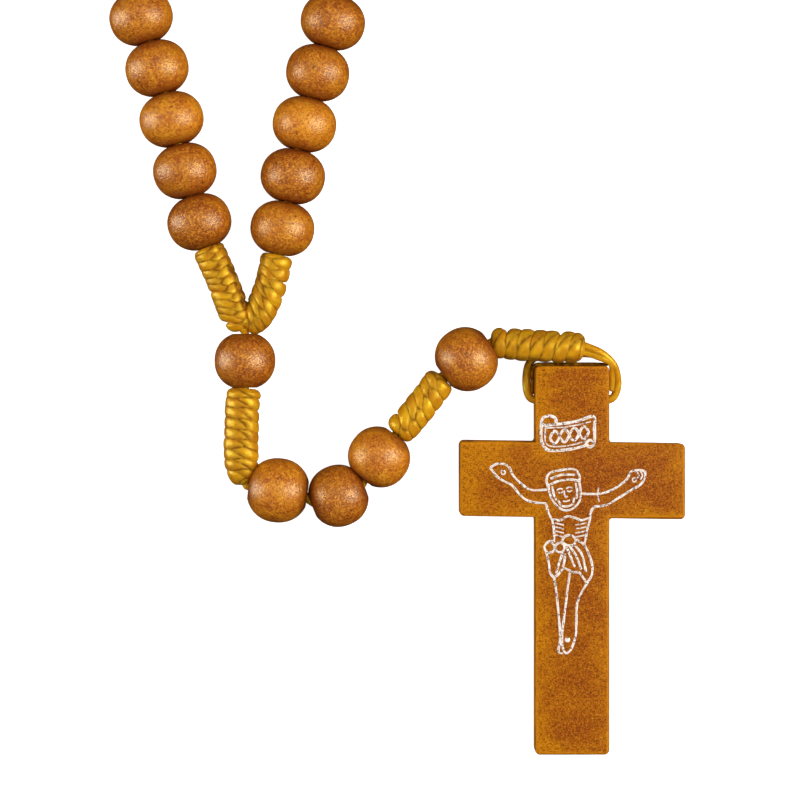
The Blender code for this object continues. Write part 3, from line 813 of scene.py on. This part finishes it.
CLOTH = (
    ((-2.2, -17.6), (-3.0, -17.7), (-3.5, -18.4), (-3.1, -19.0), (-2.4, -18.9), (-2.2, -18.3), (-2.6, -17.8)),
    ((-1.5, -17.7), (-2.1, -18.2), (-1.9, -18.9), (-1.2, -18.9), (-1.0, -18.2), (-1.5, -17.7)),
    ((-1.3, -17.6), (-0.9, -17.0), (-0.1, -16.9), (0.4, -17.5), (0.1, -18.1), (-0.7, -18.1), (-1.1, -17.8)),
    ((-3.3, -18.8), (-3.1, -19.6), (-2.9, -20.5), (-2.8, -21.5), (-2.3, -22.2)),
    ((0.5, -17.4), (1.4, -18.0), (2.1, -19.3), (2.5, -20.8), (2.4, -21.9), (1.8, -22.9)),
    ((-0.7, -18.4), (-0.2, -19.6), (0.3, -20.8)),
    ((-0.3, -18.3), (0.5, -19.5), (1.1, -21.1)),
    ((0.4, -18.2), (1.2, -19.3), (1.7, -21.4)),
    ((-1.2, -19.1), (-1.6, -20.2), (-2.0, -21.6)),
    ((-0.9, -19.2), (-1.0, -20.2), (-1.3, -21.2)),
    ((-2.3, -22.2), (-1.7, -21.7), (-1.1, -21.0), (-0.5, -21.2), (0.1, -21.5), (0.8, -21.5), (1.3, -22.1),
     (1.8, -22.9)),
)
LEGS = (
    ((-2.3, -22.0), (-2.1, -23.2), (-1.9, -24.9), (-1.7, -26.9), (-1.55, -28.9), (-1.55, -30.2),
     (-1.7, -31.4), (-1.2, -31.65)),
    ((-0.3, -21.6), (-0.6, -23.6), (-0.8, -25.4), (-1.1, -27.6), (-1.25, -28.9), (-1.2, -30.9), (-0.8, -31.6),
     (-0.3, -31.3), (0.4, -29.45), (0.5, -27.6), (0.65, -25.2), (1.4, -23.6), (1.9, -22.8)),
    ((-0.85, -29.9), (-0.6, -29.7), (-0.4, -29.95), (-0.65, -30.1), (-0.85, -29.9)),
)

# The head, in millimetres from its own middle. It is about five millimetres high.
HEAD_MIDDLE = (-0.95, -11.2)
HEAD_TILT = 9.0
CROWN = (
    ((-2.0, 0.75), (-2.05, 1.6), (-1.6, 2.3), (0.0, 2.5), (1.6, 2.3), (2.05, 1.6), (2.0, 0.75)),
    ((-1.9, 0.85), (-0.9, 1.15), (0.0, 1.2), (0.9, 1.15), (1.9, 0.85)),
    ((-1.5, 1.65), (0.0, 1.9), (1.5, 1.65)),
)
HAIR = (
    ((-1.95, 0.75), (-1.9, -0.3), (-1.6, -1.3), (-1.15, -2.0)),
    ((1.95, 0.75), (1.95, -0.3), (1.75, -1.4), (1.25, -2.1)),
    ((1.5, 0.6), (1.5, -0.4), (1.3, -1.3)),
    ((-1.45, 0.6), (-1.45, -0.3), (-1.25, -1.1)),
)
BEARD = (
    ((-1.15, -2.0), (-0.5, -2.5), (0.4, -2.55), (1.25, -2.1)),
    ((-1.0, -1.2), (-0.7, -1.9), (0.0, -2.1), (0.7, -1.9), (1.0, -1.2)),
)
FACE = (
    ((-0.95, 0.1), (-0.6, 0.25), (-0.25, 0.12)),
    ((0.25, 0.12), (0.6, 0.25), (0.95, 0.1)),
    ((-0.85, -0.2), (-0.55, -0.33), (-0.28, -0.2)),
    ((0.28, -0.2), (0.55, -0.33), (0.85, -0.2)),
    ((-0.08, -0.1), (-0.12, -0.7), (0.02, -0.95), (0.22, -0.85)),
    ((-0.4, -1.38), (0.0, -1.46), (0.4, -1.38)),
)


def printed(name, strokes, foil):
    """Lines of foil on the face of the cross, as one piece: each stroke is (points, width)."""
    sheets, faces, angles, count = [], [], [], 0
    for places, width in strokes:
        line = from_hole([(x, y, CROSS_THICKNESS) for x, y in places])
        points, some_faces, values = tube_mesh(
            line, 0, line.length, width, 2 * FOIL_RISE, sides=8, step=0.12, uneven=0.16
        )
        sheets.append(points)
        faces += [tuple(corner + count for corner in face) for face in some_faces]
        angles.append(values["across"])
        count += len(points)
    piece = new_piece(name, np.vstack(sheets), faces, foil, {"across": np.concatenate(angles)})
    return fit(piece, "cross", None)


def drawn(strokes, width):
    return [(stroke, width) for stroke in strokes]


def turned(strokes):
    """Strokes of the head, tilted and moved to their place on the cross."""
    c, s = math.cos(math.radians(HEAD_TILT)), math.sin(math.radians(HEAD_TILT))
    x0, y0 = HEAD_MIDDLE
    return [[(x0 + c * x - s * y, y0 + s * x + c * y) for x, y in stroke] for stroke in strokes]


def twisted_border(start, end, height, waves):
    """Two waving lines that cross, between two places: an ornament with no meaning."""
    (x0, y0), (x1, y1) = start, end
    lines = []
    for sign in (1, -1):
        line = []
        for share in np.linspace(0, 1, 8 * waves + 1):
            rise = sign * height / 2 * math.sin(2 * math.pi * waves * share)
            line.append((x0 + share * (x1 - x0), y0 + share * (y1 - y0) + rise))
        lines.append(line)
    return lines


def make_print(foil):
    ornament = twisted_border((-2.8, -4.75), (2.05, -4.0), 1.6, 2)
    printed("scroll_print", [*drawn(SCROLL, 0.42), *drawn(SCROLL_INNER, FINE), *drawn(ornament, 0.36)], foil)
    ribs = []
    for level in RIB_LEVELS:
        ribs.append(((-2.1, level + 0.15), (-1.1, level - 0.1)))
        ribs.append(((0.4, level - 0.1), (1.7, level + 0.15)))
    body = [*drawn(ARMS, OUTLINE), *drawn(HANDS, FINE), *drawn(TORSO, OUTLINE), *drawn(ribs, FINE)]
    printed("figure_print", body, foil)
    head = [*drawn(turned(CROWN), OUTLINE), *drawn(turned(HAIR), 0.3), *drawn(turned(BEARD), 0.3)]
    printed("head_print", [*head, *drawn(turned(FACE), 0.2)], foil)
    printed("loincloth_print", drawn(CLOTH, 0.32), foil)
    printed("legs_print", drawn(LEGS, OUTLINE), foil)


# Materials


PER_MM = 1 / UNIT


class Nodes:
    """A tree of nodes, with a short call for each kind that is used here."""

    def __init__(self, owner):
        owner.use_nodes = True
        self.tree = owner.node_tree

    def node(self, kind, inputs=(), **settings):
        made = self.tree.nodes.new("ShaderNode" + kind)
        for key, value in settings.items():
            setattr(made, key, value)
        for key, value in dict(inputs).items():
            self.put(made.inputs[key], value)
        return made

    def put(self, socket, value):
        if isinstance(value, bpy.types.NodeSocket):
            self.tree.links.new(value, socket)
        else:
            socket.default_value = value

    def value(self, name):
        """A number kept on the mesh's points."""
        return self.node("Attribute", attribute_name=name).outputs["Fac"]

    def math(self, operation, *values):
        made = self.node("Math", operation=operation)
        for socket, value in zip(made.inputs, values):
            self.put(socket, value)
        return made.outputs[0]

    def noise(self, vector, scale, detail=2.0, rough=0.5, distortion=0.0):
        inputs = {"Vector": vector, "Scale": scale, "Detail": detail, "Roughness": rough}
        return self.node("TexNoise", {**inputs, "Distortion": distortion}).outputs["Fac"]

    def vector(self, x, y, z):
        return self.node("CombineXYZ", {"X": x, "Y": y, "Z": z}).outputs[0]

    def moved(self, vector, shift, scale=(1, 1, 1)):
        """The vector scaled, then moved by the same number on each axis."""
        inputs = {"Vector": vector, "Location": self.vector(shift, shift, shift), "Scale": scale}
        return self.node("Mapping", inputs).outputs[0]

    def ramp(self, value, *stops):
        made = self.node("ValToRGB", {"Fac": value})
        elements = made.color_ramp.elements
        while len(elements) < len(stops):
            elements.new(0.5)
        for element, (place, colour) in zip(elements, stops):
            element.position = place
            element.color = (*colour, 1)
        return made.outputs["Color"]

    def mix(self, share, first, second, blend="MIX"):
        made = self.node("Mix", data_type="RGBA", blend_type=blend)
        for socket, value in ((0, share), (6, first), (7, second)):
            if isinstance(value, tuple):
                value = (*value, 1)
            self.put(made.inputs[socket], value)
        return made.outputs[2]

    def span(self, value, low, high, to_low=0.0, to_high=1.0):
        """Maps low..high to to_low..to_high, and holds it there outside."""
        inputs = {"Value": value, "From Min": low, "From Max": high, "To Min": to_low, "To Max": to_high}
        return self.node("MapRange", inputs, clamp=True).outputs[0]

    def grain(self, fine_place, coarse_place, scales, fine_share):
        """Fine and coarse noise added up, at scales per millimetre."""
        fine = self.noise(fine_place, scales[0] * PER_MM, detail=2, rough=0.6)
        coarse = self.noise(coarse_place, scales[1] * PER_MM, detail=2, rough=0.6)
        shares = self.math("MULTIPLY", fine, fine_share), self.math("MULTIPLY", coarse, 1 - fine_share)
        return self.math("ADD", *shares)


class Shader(Nodes):
    def __init__(self, name):
        self.material = bpy.data.materials.new(name)
        super().__init__(self.material)
        self.surface = self.tree.nodes["Principled BSDF"]

    def bump(self, height, distance, strength):
        inputs = {"Height": height, "Distance": distance * UNIT, "Strength": strength}
        self.put(self.surface.inputs["Normal"], self.node("Bump", inputs).outputs[0])

    def finish(self, colour, roughness, fixed):
        """Links or sets colour and roughness, and sets the sockets in fixed, which are the same all over."""
        self.put(self.surface.inputs["Base Color"], colour)
        self.put(self.surface.inputs["Roughness"], roughness)
        for name, value in fixed.items():
            self.surface.inputs[name].default_value = value
        return self.material


def make_bead_wood():
    """Stained, varnished wood: fine fibres, a tone of its own on each bead, painted shade at the ends where
    beads touch, and a few pits.
    """
    shader = Shader("bead_wood")
    place = shader.node("TexCoord").outputs["Object"]
    tone, shift = shader.value("tone"), shader.value("shift")
    here = shader.moved(place, shift)
    fibres = shader.moved(place, shift, scale=(1, 0.7, 1))
    patches = shader.noise(here, 0.4 * PER_MM, detail=3, rough=0.55, distortion=0.5)
    stain = shader.ramp(
        patches, (0.32, (0.4, 0.09, 0.004)), (0.5, (0.52, 0.15, 0.006)), (0.68, (0.62, 0.22, 0.012)),
    )
    toned = shader.mix(tone, (0.62, 0.46, 0.3), (1.22, 1.34, 0.9))
    stain = shader.mix(1.0, stain, toned, "MULTIPLY")
    grain = shader.grain(fibres, here, (5.2, 2.2), 0.68)
    speckle = shader.ramp(grain, (0.37, (0.48, 0.32, 0.24)), (0.5, (0.94, 0.92, 0.9)), (0.55, (1, 1, 1)))
    colour = shader.mix(0.9, stain, speckle, "MULTIPLY")
    light = shader.span(grain, 0.51, 0.62, 0, 0.6)
    colour = shader.mix(light, colour, (0.88, 0.36, 0.035))
    # Painted shade: the beads darken to red-brown towards their flat ends, where they touch their neighbours.
    ends = shader.math("POWER", shader.span(shader.value("end"), 0.5, 1.0), 1.6)
    colour = shader.mix(shader.math("MULTIPLY", ends, 0.9), colour, (0.15, 0.02, 0.001))
    pits = shader.span(shader.noise(here, 1.1 * PER_MM, detail=1), 0.73, 0.76, 0.0, 0.8)
    colour = shader.mix(pits, colour, (0.1, 0.025, 0.004))
    shader.bump(grain, 0.1, 0.8)
    rough = shader.span(grain, 0.4, 0.6, 0.42, 0.24)
    return shader.finish(colour, rough, {"Specular IOR Level": 0.9, "Specular Tint": (1.0, 0.82, 0.5, 1.0)})


def make_cross_wood():
    """Stained wood, golden near its edges and mottled red-brown in the middle of each bar, with a broken line
    of painted shade along the rounded edges of its faces.
    """
    shader = Shader("cross_wood")
    place = shader.node("TexCoord").outputs["Object"]
    split = shader.node("SeparateXYZ", {"Vector": place})
    x, y, z = (shader.math("MULTIPLY", split.outputs[axis], PER_MM) for axis in "XYZ")
    across = shader.math("ABSOLUTE", x)

    def depth(half, top, bottom):
        inside = shader.math("SUBTRACT", half, across)
        ends = shader.math("MINIMUM", shader.math("SUBTRACT", top, y), shader.math("SUBTRACT", y, bottom))
        return shader.math("MINIMUM", inside, ends)

    upright = depth(UPRIGHT_HALF_WIDTH, CROSS_TOP, CROSS_BOTTOM)
    arms = depth(ARM_HALF_SPAN, ARM_TOP, ARM_BOTTOM)
    edge = shader.math("MAXIMUM", upright, arms)
    patches = shader.noise(place, 0.26 * PER_MM, detail=4, rough=0.6, distortion=0.4)
    inner = shader.span(edge, 0.1, 3.2, 0.0, 0.45)
    inner = shader.math("ADD", inner, shader.span(x, -12, 6, -0.25, 0.06))
    mottle = shader.math("ADD", inner, shader.span(patches, 0.36, 0.64, 0.0, 0.55))
    stain = shader.ramp(
        mottle, (0.1, (0.5, 0.17, 0.002)), (0.45, (0.385, 0.108, 0.003)), (0.9, (0.29, 0.062, 0.004)),
    )
    grain = shader.grain(place, place, (5.0, 2.1), 0.65)
    speckle = shader.ramp(grain, (0.39, (0.34, 0.27, 0.25)), (0.5, (0.94, 0.92, 0.9)), (0.56, (1, 1, 1)))
    colour = shader.mix(0.95, stain, speckle, "MULTIPLY")
    light = shader.span(grain, 0.53, 0.64, 0, 0.65)
    colour = shader.mix(light, colour, (0.64, 0.24, 0.015))
    rim = shader.span(edge, 0.1, 0.5, 0.55, 0.0)
    colour = shader.mix(rim, colour, (0.62, 0.22, 0.004))
    # Painted shade: a broken dark line close to the outline, on the rounded edges next to both faces, where
    # the roundover turns away from the light.
    broken = shader.span(shader.noise(place, 0.3 * PER_MM, detail=3), 0.42, 0.6, 0.35, 0.95)
    face = CROSS_THICKNESS / 2
    near_faces = shader.span(shader.math("ABSOLUTE", z), face - 0.7, face - 0.3)
    outline = shader.math("MULTIPLY", shader.span(edge, 0.03, 0.17, 1.0, 0.0), near_faces)
    colour = shader.mix(shader.math("MULTIPLY", outline, broken), colour, (0.09, 0.025, 0.003))
    shader.bump(grain, 0.06, 0.6)
    return shader.finish(colour, 0.55, {"Specular IOR Level": 0.3, "Specular Tint": (1.0, 0.6, 0.2, 1.0)})


def make_satin():
    """Golden satin cord with fine threads along it. It is darkened with painted shade in the seams between
    turns, on knots' sides that face a neighbour, and on strands that lie in shade.
    """
    shader = Shader("satin_cord")
    along, across, seam = shader.value("along"), shader.value("across"), shader.value("seam")
    threads = shader.vector(shader.math("MULTIPLY", along, 0.5), shader.math("MULTIPLY", across, 3.4), 0.0)
    fine = shader.noise(threads, 2.2, detail=3, rough=0.6)
    place = shader.node("TexCoord").outputs["Object"]
    patches = shader.noise(place, 0.8 * PER_MM, detail=2)
    gold = shader.ramp(
        patches, (0.3, (0.6, 0.2, 0.004)), (0.5, (0.73, 0.33, 0.006)), (0.72, (0.82, 0.45, 0.014)),
    )
    turn = shader.mix(shader.value("tone"), (0.86, 0.8, 1.0), (1.06, 1.12, 1.0))
    gold = shader.mix(1.0, gold, turn, "MULTIPLY")
    gold = shader.mix(shader.span(fine, 0.35, 0.65, 0.55, 0.0), gold, (0.4, 0.12, 0.002))
    # Painted shade: the seam values darken the cord, broken up by patchy noise, and make it rougher there.
    wear_and_shade_patches = shader.noise(place, 1.3 * PER_MM, detail=1)
    dark = shader.math("MULTIPLY", seam, shader.span(wear_and_shade_patches, 0.38, 0.6, 0.6, 1.0))
    colour = shader.mix(dark, gold, (0.1, 0.01, 0.0005))
    shader.bump(fine, 0.05, 0.5)
    rough = shader.span(dark, 0.1, 0.7, 0.3, 0.9)
    gloss = {"IOR": 1.7, "Specular IOR Level": 0.9, "Specular Tint": (1.0, 0.78, 0.08, 1.0)}
    return shader.finish(colour, rough, gloss)


def make_foil():
    """Silvery foil, rubbed through here and there and along its middle, with darker edges."""
    shader = Shader("print_foil")
    place = shader.node("TexCoord").outputs["Object"]
    across = shader.math("ABSOLUTE", shader.math("COSINE", shader.value("across")))
    specks = shader.noise(place, 3.4 * PER_MM, detail=2, rough=0.6)
    tints = shader.noise(place, 1.7 * PER_MM, detail=1)
    silver = shader.ramp(tints, (0.4, (0.95, 0.88, 0.8)), (0.62, (0.86, 0.7, 0.58)))
    wear_and_shade_patches = shader.span(specks, 0.45, 0.4, 0.0, 0.9)
    colour = shader.mix(wear_and_shade_patches, silver, (0.16, 0.06, 0.02))
    breaks = shader.span(shader.noise(place, 1.5 * PER_MM, detail=1), 0.47, 0.53, 0.0, 0.5)
    core = shader.math("MULTIPLY", shader.span(across, 0.15, 0.4, 1.0, 0.0), breaks)
    colour = shader.mix(core, colour, (0.14, 0.05, 0.015))
    colour = shader.mix(shader.span(across, 0.86, 0.98, 0.0, 0.85), colour, (0.1, 0.04, 0.015))
    return shader.finish(colour, 0.5, {"Specular IOR Level": 0.5})


# Studio


# In metres. The table lies a hair below the part, so that the two don't flicker.
STUDIO_REACH = 3.0
TABLE_DROP = 0.03 * UNIT


def turned_backdrop(name, outline, material):
    """A backdrop turned round the upright axis from (radius, height) in metres. Only the camera sees it."""
    around = np.linspace(0, 2 * math.pi, 48, endpoint=False)
    points = [(r * math.cos(a), r * math.sin(a), height) for r, height in outline for a in around]
    mesh = bpy.data.meshes.new(name)
    mesh.from_pydata(points, [], grid_faces(len(outline), len(around)))
    mesh.materials.append(material)
    backdrop = add_object(name, mesh)
    backdrop.visible_diffuse = False
    backdrop.visible_glossy = False
    return backdrop


def make_backdrop():
    """A white table with a white dome over it. Both glow a little, and the dome lets all light through."""
    glow = {"Emission Color": (1, 1, 1, 1), "Emission Strength": 0.95, "Specular IOR Level": 0.0}
    white = Shader("table_top").finish((0.6, 0.6, 0.6, 1), 0.9, glow)
    table = turned_backdrop("table_top", ((0.0, 0.0), (STUDIO_REACH, 0.0)), white)
    table.location.z = -TABLE_DROP
    rises = np.radians(np.linspace(-1, 90, 16))
    radius = 0.99 * STUDIO_REACH
    arc = [(radius * math.cos(rise), radius * math.sin(rise)) for rise in rises]
    white = Shader("dome").finish((0.0, 0.0, 0.0, 1), 0.9, {**glow, "Emission Strength": 1.0})
    turned_backdrop("dome", arc, white).visible_shadow = False


def softbox(name, place, size, power):
    """A rectangular light at a place in metres, turned to face the middle of the view."""
    light = bpy.data.lights.new(name, "AREA")
    light.shape = "RECTANGLE"
    light.size, light.size_y = size
    light.energy = power
    lamp = add_object(name, light)
    lamp.location = place
    target = Vector((*VIEW_CENTRE, 0)) * UNIT
    lamp.rotation_euler = (target - lamp.location).to_track_quat("-Z", "Y").to_euler()


def make_lights():
    softbox("right_softbox", (0.62, -0.05, 0.5), (0.35, 0.7), 6.7)
    softbox("left_softbox", (-0.7, -0.05, 0.16), (0.3, 0.8), 5.6)
    softbox("overhead", (0.02, 0.25, 1.1), (0.9, 0.5), 1.2)
    world = bpy.data.worlds.new("studio")
    bpy.context.scene.world = world
    nodes = Nodes(world)
    sky = nodes.tree.nodes["Background"]
    split = nodes.node("SeparateXYZ", {"Vector": nodes.node("TexCoord").outputs["Generated"]})
    greys = ((0.0, 0.04), (0.48, 0.06), (0.7, 0.45), (1.0, 0.95))
    stops = [(at, (grey, grey, grey)) for at, grey in greys]
    nodes.put(sky.inputs["Color"], nodes.ramp(nodes.span(split.outputs["Z"], -1, 1), *stops))
    nodes.put(sky.inputs["Strength"], 0.42)


def make_camera():
    data = bpy.data.cameras.new("camera")
    data.lens = LENS
    data.sensor_width = SENSOR
    data.clip_end = 20
    camera = add_object("camera", data)
    distance = VIEW_WIDTH * LENS / SENSOR
    camera.location = Vector((*VIEW_CENTRE, CORD_HEIGHT + distance)) * UNIT
    bpy.context.scene.camera = camera


def main():
    bpy.context.scene.view_settings.view_transform = "Standard"
    make_camera()
    make_lights()
    make_backdrop()
    satin = make_satin()
    beads = make_beads(make_bead_wood())
    make_loop(beads, satin)
    make_pendant(beads, satin)
    make_ring(satin)
    make_cross(make_cross_wood())
    make_print(make_foil())


main()
